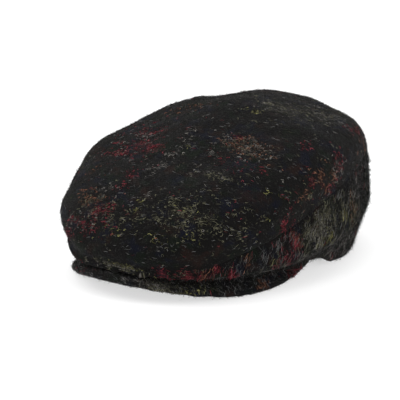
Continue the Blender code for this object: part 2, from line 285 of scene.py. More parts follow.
@dataclass(frozen=True)
class CapForm:
    """Named sizes and the plain surfaces of the cap, which every sub-assembly shares."""

    cloth: float = 0.0022
    board: float = 0.005
    head_front: float = 0.103
    head_back: float = 0.104
    head_half: float = 0.089
    head_squareness: float = 2.1
    crown_front: float = 0.152
    crown_back: float = 0.120
    crown_half: float = 0.108
    crown_squareness: float = 2.4
    height: float = 0.1257
    peak_front: float = 0.1522
    peak_half: float = 0.0918
    peak_middle: float = 0.041
    peak_ledge: float = 0.004
    peak_slope: float = 0.145
    peak_arch: float = 0.0285
    hem_leaves: float = 84.0
    hem_lands: float = 104.0
    centring: float = 0.01582
    ring_reach: tuple[tuple[float, ...], ...] = (
        (0.740, 0.765, 0.860, 0.850, 0.895),
        (0.830, 0.845, 0.905, 0.910, 0.950),
        (0.950, 0.960, 1.010, 0.970, 0.990),
        (0.960, 0.960, 0.965, 0.955, 0.985),
        (1.000, 1.005, 0.980, 0.920, 0.930),
        (0.880, 0.870, 0.850, 0.770, 0.795),
        (0.485, 0.485, 0.490, 0.450, 0.475),
    )
    ring_rise: tuple[tuple[float, ...], ...] = (
        (0.285, 0.190, 0.090, 0.140, 0.145),
        (0.240, 0.170, 0.160, 0.255, 0.290),
        (0.185, 0.150, 0.220, 0.310, 0.345),
        (0.220, 0.295, 0.525, 0.635, 0.685),
        (0.290, 0.425, 0.665, 0.760, 0.785),
        (0.510, 0.645, 0.820, 0.875, 0.900),
        (0.765, 0.820, 0.930, 0.970, 0.990),
    )

    def head_reach(self, angles: Array) -> Array:
        """Reach of the hem's outside in each direction."""
        sizes = (self.head_front, self.head_back, self.head_half, self.head_squareness)
        return rounded_reach(angles, *sizes)

    def crown_reach(self, angles: Array) -> Array:
        """Reach of the crown at its widest in each direction."""
        sizes = (self.crown_front, self.crown_back, self.crown_half, self.crown_squareness)
        return rounded_reach(angles, *sizes)

    def peak_reach(self, angles: Array) -> Array:
        """Reach of the peak's outer edge: where a ray meets an ellipse set forward.

        Args:
            angles: directions from the front, in radians.

        Returns:
            The larger root of the quadratic of the ray's length, for each direction.
        """
        deep = self.peak_front - self.peak_middle
        forward = np.cos(angles)
        square = (np.sin(angles) / self.peak_half) ** 2 + (forward / deep) ** 2
        linear = -2.0 * forward * self.peak_middle / deep**2
        constant = (self.peak_middle / deep) ** 2 - 1.0
        root = np.sqrt(linear**2 - 4.0 * square * constant)
        return (root - linear) / (2.0 * square)

    def board_fall(self, x: Array, y: Array) -> Array:
        """Height of the board's middle: a slope towards the front less a square arch across."""
        return self.peak_slope * (y + self.head_front) - self.peak_arch * (x / self.peak_half) ** 2

    def peak_tip(self) -> float:
        """Direction in which the peak's outline meets the hem.

        Returns:
            The first of even directions in which the hem reaches further than the outline.
        """
        fine = np.linspace(0.0, np.radians(self.hem_leaves), 400)
        beyond = self.peak_reach(fine) - self.head_reach(fine)
        return float(fine[np.argmax(beyond < 0.0)] if beyond[-1] < 0.0 else fine[-1])

    def seat_height(self, x: Array, y: Array, lift: float) -> Array:
        """Height of the hem: on the board at the front and on the floor at the back.

        Args:
            x: places of the hem across the cap.
            y: places of the hem along the cap, before centring.
            lift: how far the board is lifted off its own zero.

        Returns:
            The board's top times a smooth step of the direction, which falls to nothing behind.
        """
        angle = np.degrees(np.arctan2(np.abs(x), -y))
        share = np.clip((self.hem_lands - angle) / (self.hem_lands - self.hem_leaves), 0.0, 1.0)
        hold = share * share * (3.0 - 2.0 * share)
        across = 2.0 * self.peak_arch * x / self.peak_half**2
        steep = np.sqrt(1.0 + across**2 + self.peak_slope**2)
        return hold * (self.board_fall(x, y) + lift + self.board / 2.0 * steep)

    def ring_grid(self, angles: Array, lift: float) -> tuple[Array, Array]:
        """Reach and rise of the hem, the rings, the middle and the first ring beyond it.

        Args:
            angles: even directions round the whole cap.
            lift: how far the board is lifted.

        Returns:
            Two arrays with a row for each direction and a column for each ring.
        """
        crown = self.crown_reach(angles)
        hem = self.head_reach(angles)
        low = self.seat_height(hem * np.sin(angles), -hem * np.cos(angles), lift)
        reach = [hem] + [around(row, angles) * crown for row in self.ring_reach]
        rise = [low] + [around(row, angles) * self.height for row in self.ring_rise]
        reach.append(np.zeros_like(angles))
        rise.append(np.full_like(angles, self.height))
        opposite = len(angles) // 2
        reach.append(-np.roll(reach[-2], opposite))
        rise.append(np.roll(rise[-2], opposite))
        return np.stack(reach, axis=1), np.stack(rise, axis=1)


def rounded_reach(
    angles: Array, front: float, back: float, half: float, squareness: float
) -> Array:
    """Reach of a rounded outline: the squareness norm of the direction over the half sizes.

    Args:
        angles: directions from the front, in radians.
        front: reach towards the front.
        back: reach towards the back.
        half: reach to each side.
        squareness: 2 gives ellipses, and more gives fuller corners.

    Returns:
        The reach in each direction.
    """
    forward = np.cos(angles)
    along = np.where(forward > 0, front, back)
    sideways = np.abs(np.sin(angles)) / half
    lengthways = np.abs(forward) / along
    return (sideways**squareness + lengthways**squareness) ** (-1.0 / squareness)


def around(stations: Sequence[float], angles: Array) -> Array:
    """A mirrored curve round the cap: the cosine series through values at even stations.

    Args:
        stations: values at even steps from the front to the back.
        angles: directions from the front, in radians.

    Returns:
        The value in each direction.
    """
    orders = np.arange(len(stations))
    turns = np.linspace(0.0, np.pi, len(stations))
    weights = np.linalg.solve(np.cos(np.outer(turns, orders)), np.array(stations))
    return np.cos(np.outer(angles, orders)) @ weights


def spline(knots: Array, values: Array, positions: Array) -> Array:
    """The natural cubic spline through values, which is straight at its ends.

    Args:
        knots: places of the given values, rising.
        values: a row of values for each direction, with a column for each knot.
        positions: places of the wanted values, with a row for each direction.

    Returns:
        The wanted values, shaped as the positions.
    """
    count = len(knots)
    spans = np.diff(knots)
    system = np.eye(count)
    loads = np.zeros((count, count))
    inner = np.arange(1, count - 1)
    before, after = spans[:-1], spans[1:]
    system[inner, inner - 1] = before
    system[inner, inner] = 2.0 * (before + after)
    system[inner, inner + 1] = after
    loads[inner, inner - 1] = 6.0 / before
    loads[inner, inner] = -6.0 / before - 6.0 / after
    loads[inner, inner + 1] = 6.0 / after
    bends = (np.linalg.solve(system, loads) @ values.T).T
    spot = np.clip(np.searchsorted(knots, positions, side="right") - 1, 0, count - 2)
    span = spans[spot]
    right = (positions - knots[spot]) / span
    left = 1.0 - right
    ends = [np.take_along_axis(part, spot + move, 1) for part in (values, bends) for move in (0, 1)]
    curve = (left**3 - left) * ends[2] + (right**3 - right) * ends[3]
    return left * ends[0] + right * ends[1] + curve * span**2 / 6.0


def unit(vectors: Array) -> Array:
    """Vectors divided by their lengths."""
    return vectors / np.maximum(np.linalg.norm(vectors, axis=-1, keepdims=True), 1e-12)


def ripple(points: Array, size: float, seed: int) -> Array:
    """Smooth unevenness: the mean of plane cosine waves with seeded directions and phases.

    Args:
        points: places, in metres.
        size: mean length of a wave, in metres.
        seed: seed of the directions, lengths and phases.

    Returns:
        A value at each place, mostly between -1 and 1.
    """
    chance = np.random.default_rng(seed)
    heading = unit(chance.normal(size=(WAVES, 3)))
    pace = 2.0 * np.pi / (size * chance.uniform(0.6, 1.5, size=(WAVES, 1)))
    phase = chance.uniform(0.0, 2.0 * np.pi, size=WAVES)
    return np.cos(points @ (heading * pace).T + phase).sum(axis=-1) / np.sqrt(WAVES / 2.0) / 1.6


def uneven(points: Array, ripples: Ripples) -> Array:
    """Sum of ripples, each given by its depth, its size and its seed."""
    return sum(depth * ripple(points, size, seed) for depth, size, seed in ripples)


def paced(start: Array, stop: Array, step: float, fine: Array, both: bool) -> Array:
    """Rows between two edges: the fine distances near an edge, then even steps.

    Args:
        start: place of the first edge in each direction.
        stop: place of the last row in each direction.
        step: mean spacing away from the edges.
        fine: distances from an edge of the rows near it.
        both: whether the last row is an edge too.

    Returns:
        The places of the rows, with a row of them for each direction.
    """
    low = start[:, None] + fine
    high = stop[:, None] - (fine[::-1] if both else 0.0)
    count = max(2, int(np.ceil((high[:, 0] - low[:, -1]).mean() / step)))
    share = np.linspace(0.0, 1.0, count + 1)
    even = low[:, -1:] + (high[:, :1] - low[:, -1:]) * share
    return np.concatenate([low[:, :-1], even, high[:, 1:]], axis=1)


def row_slopes(points: Array, positions: Array) -> Array:
    """Change of the points along each row: the mean of the two steps' slopes, each weighted by
    the other step's length.

    Args:
        points: points by direction and then by row.
        positions: their places along the profile.

    Returns:
        The change for a step of the place, shaped as the points.
    """
    steps = np.diff(points, axis=1)
    spans = np.diff(positions, axis=1)[..., None]
    slopes = steps / spans
    inner = slopes[:, :-1] * spans[:, 1:] + slopes[:, 1:] * spans[:, :-1]
    inner = inner / (spans[:, 1:] + spans[:, :-1])
    return np.concatenate([slopes[:, :1], inner, slopes[:, -1:]], axis=1)


@dataclass
class Surface:
    """A grid of points with outward normals and the cloth coordinates that its plaid follows."""

    points: Array
    normals: Array
    grain: Array
    chart: Array


@dataclass
class Body:
    """A closed mesh with its grain as a UV map and its plaid as attributes.

    The first faces are its outside, and edge is each vertex's distance from the nearest seam.
    """

    points: Array
    faces: list[Array]
    grain: Array
    chart: Array
    edge: Array


def yarn_shares(chart: Array) -> Array:
    """Share of each coloured yarn at places on the unrolled cloth.

    A stripe or patch counts fully at its middle and falls as the exponential of minus the squared
    distance in its own half sizes. A warp and a weft stripe of one yarn multiply, and the red
    stripes are the thinnest.

    Args:
        chart: places across and back, in metres, with the last axis of two.

    Returns:
        Shares with a last axis of one value for each yarn, in the order of Yarn.
    """
    place = chart * 100.0
    shares = np.zeros(chart.shape[:-1] + (len(Yarn),))
    for number, yarn in enumerate(Yarn):
        runs = [np.zeros(chart.shape[:-1]) for _ in range(2)]
        for axis, table in enumerate((WARP, WEFT)):
            for stripe in (Stripe(*row) for row in table.get(yarn, ())):
                far = np.abs(place[..., axis] - stripe.middle) / stripe.half
                runs[axis] += stripe.share * np.exp(-(far**2))
        share = CROSSING * runs[0] * runs[1] + RUNNING * (runs[0] + runs[1])
        share = share * (RED_RUN if yarn is Yarn.RED else 1.0) + SCATTERED.get(yarn, 0.0)
        for patch in (Patch(*row) for row in PATCHES[yarn]):
            across = (place[..., 0] - patch.across) / patch.half_across
            far = np.hypot(across, (place[..., 1] - patch.back) / patch.half_back)
            share += CHARTED * patch.share * np.exp(-(far**2))
        shares[..., number] = share
    return shares


def grid_faces(index: Array) -> Array:
    """Quads between neighbouring rows and columns of an index grid, turned to face out."""
    corners = [index[:-1, :-1], index[1:, :-1], index[1:, 1:], index[:-1, 1:]]
    return np.stack(corners, axis=-1).reshape(-1, 4)


def cloth_shell(surface: Surface, thickness: float, joined: bool) -> Body:
    """Closed shell of cloth under an outer grid, with rounded edges.

    The cloth's middle lies half a thickness inside the grid. Half its thickness, times a quarter
    circle of the distance from the nearest edge, is laid on each side of that middle, so both
    faces meet on the edge. What would lie below the floor is laid flat on it.

    Args:
        surface: the outer grid, by direction and then by row from the lower edge.
        thickness: the cloth's thickness.
        joined: whether the grid closes on itself round the cap and ends in a point at the top.

    Returns:
        The shell, with its outer faces first.
    """
    half = thickness / 2.0
    middle = surface.points - half * surface.normals
    climbed = climb(middle)
    edge = climbed
    if not joined:
        gone = climb(middle.swapaxes(0, 1)).T
        edge = np.minimum(climbed, climbed[:, -1:] - climbed)
        edge = np.minimum(edge, np.minimum(gone, gone[-1:] - gone))
    share = np.clip(edge / half, 0.0, 1.0)
    swell = (half * (1.0 - (1.0 - share) ** 3) ** (1.0 / 3.0))[..., None] * surface.normals
    rows, columns = share.shape
    outer = np.arange(rows * columns).reshape(rows, columns)
    rim = np.zeros((rows, columns), bool)
    rim[:, 0] = True
    if not joined:
        rim[:, -1] = rim[0] = rim[-1] = True
    inner = outer.copy()
    inner[~rim] = rows * columns + np.arange((~rim).sum())
    points = np.concatenate([(middle + swell).reshape(-1, 3), (middle - swell)[~rim]])
    points[:, 2] = np.maximum(points[:, 2], 0.0)
    grain = np.concatenate([surface.grain.reshape(-1, 2), surface.grain[~rim]])
    chart = np.concatenate([surface.chart.reshape(-1, 2), surface.chart[~rim]])
    edge = np.concatenate([edge.ravel(), edge[~rim]])
    if not joined:
        faces = [grid_faces(outer), grid_faces(inner)[:, ::-1]]
        return Body(points, faces, grain, chart, edge)
    faces = []
    for index, turned in ((outer, False), (inner, True)):
        looped = np.concatenate([index, index[:1]])
        quads = grid_faces(looped[:, :-1])
        pole = np.full(rows, index[0, -1])
        fan = np.stack([looped[:-1, -2], looped[1:, -2], pole], axis=-1)
        faces.extend([quads[:, ::-1], fan[:, ::-1]] if turned else [quads, fan])
    return without_loose(Body(points, faces, grain, chart, edge))


def without_loose(body: Body) -> Body:
    """The body with the vertices that no face uses dropped.

    Args:
        body: a closed mesh.

    Returns:
        The same faces, renumbered, with the vertices that they use.
    """
    used = np.zeros(len(body.points), bool)
    for faces in body.faces:
        used[faces.ravel()] = True
    number = np.cumsum(used) - 1
    faces = [number[faces] for faces in body.faces]
    return Body(body.points[used], faces, body.grain[used], body.chart[used], body.edge[used])


def put_mesh(name: str, points: Array, faces: Sequence[Array]) -> bpy.types.Object:
    """Make an object at the origin from points and faces, smooth shaded.

    Args:
        name: the object's name.
        points: vertices, in metres.
        faces: arrays of faces, each array with its own number of corners.

    Returns:
        The new object.
    """
    corners = np.concatenate([part.ravel() for part in faces]).astype(np.int32)
    counts = np.concatenate([np.full(len(part), part.shape[1]) for part in faces])
    starts = np.concatenate([[0], np.cumsum(counts)[:-1]]).astype(np.int32)
    mesh = bpy.data.meshes.new(name)
    mesh.vertices.add(len(points))
    mesh.vertices.foreach_set("co", points.astype(np.float32).ravel())
    mesh.loops.add(len(corners))
    mesh.loops.foreach_set("vertex_index", corners)
    mesh.polygons.add(len(counts))
    mesh.polygons.foreach_set("loop_start", starts)
    mesh.polygons.foreach_set("loop_total", counts.astype(np.int32))
    mesh.update(calc_edges=True)
    mesh.validate()
    mesh.polygons.foreach_set("use_smooth", np.ones(len(counts), bool))
    item = bpy.data.objects.new(name, mesh)
    bpy.context.scene.collection.objects.link(item)
    return item


def lay_grain(item: bpy.types.Object, grain: Array) -> None:
    """Put cloth coordinates into the object's UV map, corner by corner.

    Args:
        item: the object.
        grain: two coordinates for each vertex.
    """
    mesh = item.data
    corners = np.empty(len(mesh.loops), np.int32)
    mesh.loops.foreach_get("vertex_index", corners)
    layer = mesh.uv_layers.new(name="grain")
    layer.data.foreach_set("uv", grain[corners].astype(np.float32).ravel())


def lay_colour(item: bpy.types.Object, name: str, values: Array) -> None:
    """Put a colour of four values at each vertex into a named attribute."""
    layer = item.data.color_attributes.new(name=name, type="FLOAT_COLOR", domain="POINT")
    layer.data.foreach_set("color", values.astype(np.float32).ravel())


class Wire:
    """A socket of a node tree that takes part in expressions on values."""

    def __init__(self, graph: "Graph", socket: bpy.types.NodeSocket) -> None:
        """Keep the graph and the socket."""
        self.graph = graph
        self.socket = socket

    def maths(self, operation: str, *others: "Wire | float") -> "Wire":
        """A Math node of this wire and the others."""
        values = dict(enumerate((self, *others)))
        return self.graph.node("ShaderNodeMath", {"operation": operation}, values)

    def __add__(self, other: "Wire | float") -> "Wire":
        """Sum."""
        return self.maths("ADD", other)

    __radd__ = __add__

    def __sub__(self, other: "Wire | float") -> "Wire":
        """Difference."""
        return self.maths("SUBTRACT", other)

    def __rsub__(self, other: float) -> "Wire":
        """Difference from a number."""
        return self.graph.node("ShaderNodeMath", {"operation": "SUBTRACT"}, {0: other, 1: self})

    def __mul__(self, other: "Wire | float") -> "Wire":
        """Product."""
        return self.maths("MULTIPLY", other)

    __rmul__ = __mul__

    def __lt__(self, other: "Wire | float") -> "Wire":
        """1 where this is less, and 0 elsewhere."""
        return self.maths("LESS_THAN", other)

    def step(self, low: float, high: float) -> "Wire":
        """A smooth step from 0 at low to 1 at high, or falling where high is the smaller."""
        limits = {"Value": self, "From Min": low, "From Max": high}
        return self.graph.node("ShaderNodeMapRange", {"interpolation_type": "SMOOTHSTEP"}, limits)


class Graph:
    """A material's node tree, built from expressions and one method for all other nodes."""

    def __init__(self, name: str) -> None:
        """Make a material with an empty tree.

        Args:
            name: the material's name.
        """
        self.material = bpy.data.materials.new(name)
        self.material.use_nodes = True
        self.tree = self.material.node_tree
        self.tree.nodes.clear()
        self.last: bpy.types.Node | None = None

    def node(
        self,
        kind: str,
        settings: dict[str, Any] | None = None,
        values: dict[str | int, Any] | None = None,
        output: str | int = 0,
    ) -> Wire:
        """Add a node: its settings first, then its sockets.

        Args:
            kind: the node's type.
            settings: attributes of the node, such as a Math node's operation.
            values: numbers, colours or wires of the inputs, by name or number.
            output: the output that the returned wire holds, by name or number.

        Returns:
            A wire from the wanted output, or from the first input of a node without outputs.
        """
        added = self.tree.nodes.new(kind)
        for key, value in (settings or {}).items():
            setattr(added, key, value)
        for key, value in (values or {}).items():
            if isinstance(value, Wire):
                self.tree.links.new(value.socket, added.inputs[key])
            else:
                added.inputs[key].default_value = value
        self.last = added
        if len(added.outputs) == 0:
            return Wire(self, added.inputs[0])
        return Wire(self, added.outputs[output])

    def out(self, output: str | int) -> Wire:
        """A wire from another output of the node added last."""
        return Wire(self, self.last.outputs[output])

    def place(self) -> Wire:
        """Places in the piece's own frame."""
        return self.node("ShaderNodeTexCoord", {}, {}, "Object")

    def attribute(self, name: str) -> Wire:
        """A colour attribute of the mesh."""
        return self.node("ShaderNodeAttribute", {"attribute_name": name}, {}, "Color")

    def noise(
        self, place: Wire, scale: float, detail: float, rough: float = 0.5, output: str | int = 0
    ) -> Wire:
        """A noise texture.

        Args:
            place: where it is read.
            scale: waves in a metre.
            detail: number of finer layers.
            rough: strength of each finer layer against the last.
            output: 0 for its value, or "Color" for three values at once.

        Returns:
            A wire of the output.
        """
        sockets = {"Vector": place, "Scale": scale, "Detail": detail, "Roughness": rough}
        return self.node("ShaderNodeTexNoise", {}, sockets, output)

    def split(self, colour: Wire) -> tuple[Wire, Wire, Wire]:
        """The three parts of a colour."""
        first = self.node("ShaderNodeSeparateColor", {}, {"Color": colour}, 0)
        return first, self.out(1), self.out(2)

    def surfaced(self, sockets: dict[str | int, Any]) -> bpy.types.Material:
        """The material, with a principled surface.

        Args:
            sockets: numbers, colours or wires of the surface's inputs, by name.

        Returns:
            The material.
        """
        shader = self.node("ShaderNodeBsdfPrincipled", {}, sockets)
        self.node("ShaderNodeOutputMaterial", {}, {"Surface": shader})
        return self.material

    def blend(self, factor: Wire | float, low: Any, high: Any, how: str = "MIX") -> Wire:
        """A Mix node of two colours.

        Args:
            factor: 0 gives low and 1 gives high.
            low: a colour or a wire.
            high: a colour or a wire.
            how: the way of blending.

        Returns:
            A wire of the mixed colour.
        """
        settings = {"data_type": "RGBA", "blend_type": how}
        return self.node("ShaderNodeMix", settings, {0: factor, 6: low, 7: high}, 2)


def rgba(colour: Sequence[float], level: float = 1.0) -> tuple[float, float, float, float]:
    """A colour with full alpha, brightened by a level."""
    return (colour[0] * level, colour[1] * level, colour[2] * level, 1.0)


@dataclass(frozen=True)
class Tweed:
    """Dark twill tweed with coloured flecks that crowd where the plaid is charted."""

    charcoal: tuple[float, float, float] = (0.0056, 0.0053, 0.0051)
    navy: tuple[float, float, float] = (0.0050, 0.0058, 0.0106)
    moss: tuple[float, float, float] = (0.0054, 0.0080, 0.0053)
    bark: tuple[float, float, float] = (0.0125, 0.0073, 0.0061)
    heather: tuple[float, float, float] = (0.026, 0.026, 0.024)
    fleck_length: float = 0.0030
    fleck_width: float = 0.0011
    lean: float = 0.25
    solid: float = 0.90
    clumps: float = 170.0
    wander: float = 0.0007
    twill: float = 0.0019
    fleck_level: float = 1.35
    relief: float = 0.0005
    sheen: float = 0.05

    def graph(self, name: str) -> bpy.types.Material:
        """Build the cloth's material.

        Each fleck is the middle of a stretched Voronoi cell, and each curl is a level line of
        noise within a wider cell. One random value of the cell, mixed with soft noise so that
        flecks clump, is set against the total share of coloured yarn to say whether the fleck is
        there, and another against the yarns' running shares picks its yarn. Where red or orange
        is thickest, the ground takes its colour too. The twill is a sine of the grain taken
        slantwise.

        Args:
            name: the material's name.

        Returns:
            The material.
        """
        g = Graph(name)
        grain = g.node("ShaderNodeUVMap", {"uv_map": "grain"})
        place = g.place()
        first = g.attribute("yarns_a")
        cream = g.out("Alpha")
        red, orange, olive = g.split(first)
        yellow, blue, _ = g.split(g.attribute("yarns_b"))

        shake = g.noise(grain, 420.0, 2.0, output="Color")
        sway = (self.wander, self.wander, 0.0)
        wander = g.node(
            "ShaderNodeVectorMath", {"operation": "MULTIPLY_ADD"}, {0: shake, 1: sway, 2: grain}
        )
        gather = g.noise(grain, self.clumps, 3.0, 0.65).step(0.28, 0.72) * 0.4
        hue_a, hue_b, hue_c = g.split(g.noise(place, 60.0, 4.0, 0.6, "Color"))

        base = rgba(self.charcoal)
        grounds = (
            (hue_a, 0.50, 0.66, self.navy),
            (hue_b, 0.52, 0.68, self.moss),
            (hue_c, 0.54, 0.70, self.bark),
        )
        for hue, low, high, ground in grounds:
            base = g.blend(hue.step(low, high), base, rgba(ground))
        base = g.blend(blue * 0.9, base, rgba(Yarn.BLUE.value, 0.7))
        for share, yarn in ((red, Yarn.RED), (orange, Yarn.ORANGE)):
            thick = share.step(0.30, 0.80) * 0.75
            base = g.blend(thick, base, rgba(yarn.value, self.solid))

        two = red + orange
        three = two + olive
        four = three + cream
        five = four + yellow
        curl = (g.noise(wander, 330.0, 1.0) - 0.5).maths("ABSOLUTE").step(0.045, 0.015)
        long_cells = self.cells(g, wander, self.lean, self.fleck_length, self.fleck_width)
        short_cells = self.cells(g, wander, -0.9, self.fleck_length * 0.6, self.fleck_width * 0.8)
        wide_cells = self.cells(g, grain, 0.3, 0.0036, 0.0030)
        layers = (
            (short_cells[0], short_cells, 0.6),
            (long_cells[0], long_cells, 0.8),
            (curl, wide_cells, 1.0),
        )
        for mask, (_, pick, which, shade), strength in layers:
            there = (pick * 0.6 + gather) < five
            spot = which * five
            colour = rgba(Yarn.YELLOW.value)
            yarns = (Yarn.CREAM, Yarn.OLIVE, Yarn.ORANGE, Yarn.RED)
            for limit, yarn in zip((four, three, two, red), yarns):
                colour = g.blend(spot < limit, colour, rgba(yarn.value))
            base = g.blend(mask * (shade < 0.06) * 0.5, base, rgba(self.heather))
            bright = g.blend(1.0, colour, rgba(WHITE, self.fleck_level), "MULTIPLY")
            base = g.blend(mask * there * (shade * shade * 0.8 + 0.1) * strength, base, bright)

        slant = g.node("ShaderNodeSeparateXYZ", {}, {"Vector": wander}, 0)
        slant = (slant + g.out(1) * 0.8) * (2.0 * np.pi / self.twill)
        ridge = slant.maths("SINE") * 0.5 + 0.5
        darker = g.blend(1.0, base, rgba(WHITE, 0.55), "MULTIPLY")
        base = g.blend(ridge.step(0.0, 1.0) * 0.45, base, darker)
        height = ridge * 0.35 + long_cells[0] * 0.35 + g.noise(place, 900.0, 3.0) * 0.6
        normal = g.node(
            "ShaderNodeBump", {}, {"Strength": 0.8, "Distance": self.relief, "Height": height}
        )
        sockets = {
            "Base Color": base,
            "Roughness": 0.92,
            "Normal": normal,
            "Specular IOR Level": 0.05,
            "Sheen Weight": self.sheen,
            "Sheen Roughness": 0.45,
            "Sheen Tint": (0.75, 0.74, 0.72, 1.0),
        }
        return g.surfaced(sockets)

    def cells(
        self, g: Graph, grain: Wire, lean: float, length: float, width: float
    ) -> tuple[Wire, Wire, Wire, Wire]:
        """Stretched cells of the weave.

        Args:
            g: the graph.
            grain: cloth coordinates.
            lean: turn of the cells in the cloth, in radians.
            length: length of a cell.
            width: width of a cell.

        Returns:
            The fleck in the middle of each cell, and three random values of the cell.
        """
        turned = g.node(
            "ShaderNodeMapping",
            {"vector_type": "TEXTURE"},
            {"Vector": grain, "Rotation": (0.0, 0.0, lean), "Scale": (length, width, 1.0)},
        )
        flat = {"voronoi_dimensions": "2D"}
        far = g.node("ShaderNodeTexVoronoi", flat, {"Vector": turned, "Scale": 1.0})
        parts = g.split(g.out("Color"))
        return far.step(0.50, 0.30), *parts


@dataclass(frozen=True)
class Wool:
    """Loose wool, each fibre or strand with its own colour."""

    roughness: float = 0.85
    specular: float = 0.05

    def graph(self, name: str) -> bpy.types.Material:
        """Build the fibres' material, whose colour is an attribute of each fibre.

        Args:
            name: the material's name.

        Returns:
            The material.
        """
        g = Graph(name)
        sockets = {
            "Base Color": g.attribute("fibre"),
            "Roughness": self.roughness,
            "Specular IOR Level": self.specular,
        }
        return g.surfaced(sockets)


@dataclass(frozen=True)
class Paper:
    """Plain pale floor, lit a little from within so that shadows stay faint."""

    colour: tuple[float, float, float] = (0.45, 0.45, 0.45)
    glow: float = 0.62

    def graph(self, name: str) -> bpy.types.Material:
        """Build the floor's material, with a faint mottle in its roughness.

        Args:
            name: the material's name.

        Returns:
            The material.
        """
        g = Graph(name)
        mottle = g.noise(g.place(), 30.0, 2.0)
        sockets = {
            "Base Color": rgba(self.colour),
            "Roughness": mottle * 0.1 + 0.8,
            "Specular IOR Level": 0.1,
            "Emission Color": rgba(WHITE),
            "Emission Strength": self.glow,
        }
        return g.surfaced(sockets)


def seam_room(body: Body, reach: float) -> Array:
    """Share of loose yarn that each outer face keeps, which falls to none beside a seam.

    Args:
        body: the cloth.
        reach: distance from the seam within which there is none.

    Returns:
        The step from 0 at the reach to 1 at twice the reach, for each outer face.
    """
    return np.clip(body.edge[body.faces[0]].mean(axis=1) / reach - 1.0, 0.0, 1.0)


def dress(item: bpy.types.Object, body: Body, finish: Tweed) -> None:
    """Give a body its grain, its charted yarns and its tweed.

    Args:
        item: the cloth's object.
        body: its shape, with its grain and its plaid.
        finish: its tweed.
    """
    lay_grain(item, body.grain)
    shares = yarn_shares(body.chart)
    lay_colour(item, "yarns_a", shares[:, :4])
    rest = np.concatenate([shares[:, 4:], np.zeros((len(shares), 1)), np.ones((len(shares), 1))], 1)
    lay_colour(item, "yarns_b", rest)
    item.data.materials.append(finish.graph(item.name + "_tweed"))


class Roots(NamedTuple):
    """Random places on a body's outer faces, with the cloth's chart and normal there."""

    place: Array
    chart: Array
    up: Array


def scatter(body: Body, keeps: Sequence[Array], count: int, chance: Chance) -> Roots:
    """Random places on the outer faces: a random mix of a face's corners, with faces picked by
    area.

    Args:
        body: the cloth.
        keeps: shares of each outer face's area that count, multiplied in turn.
        count: number of places.
        chance: the seeded source of chance.

    Returns:
        The places.
    """
    faces = body.faces[0]
    corners = body.points[faces]
    crossing = np.cross(corners[:, 2] - corners[:, 0], corners[:, 3] - corners[:, 1])
    area = np.linalg.norm(crossing, axis=1)
    for keep in keeps:
        area = area * keep
    picked = chance.choice(len(faces), count, p=area / area.sum())
    s, t = chance.uniform(size=(2, count, 1))
    weights = [(1 - s) * (1 - t), s * (1 - t), s * t, (1 - s) * t]
    place = sum(w * corners[picked, k] for k, w in enumerate(weights))
    chart = sum(w * body.chart[faces[picked, k]] for k, w in enumerate(weights))
    return Roots(place, chart, unit(crossing[picked]))


def laid(way: Sequence[float], up: Array) -> Array:
    """One direction laid into the cloth: less its part along the normals, at unit length."""
    return unit(np.array(way) - (up @ np.array(way))[:, None] * up)


def sideways(up: Array, chance: Chance) -> Array:
    """Random unit directions square to the given ones."""
    return unit(np.cross(up, chance.normal(size=up.shape)))


def put_wool(name: str, kind: str, ribbon: Array, faces: Array, colour: Array) -> bpy.types.Object:
    """Make a piece of ribbons, each in its own colour, laid flat where they meet the floor.

    Args:
        name: the piece's name.
        kind: the ending of its material's name.
        ribbon: vertices with a row for each ribbon.
        faces: the ribbons' faces.
        colour: a colour of four values for each ribbon.

    Returns:
        The piece.
    """
    ribbon[..., 2] = np.maximum(ribbon[..., 2], 0.0)
    item = put_mesh(name, ribbon.reshape(-1, 3), [faces])
    lay_colour(item, "fibre", np.repeat(colour, ribbon[0].size // 3, axis=0))
    item.data.materials.append(Wool().graph(name + kind))
    return item


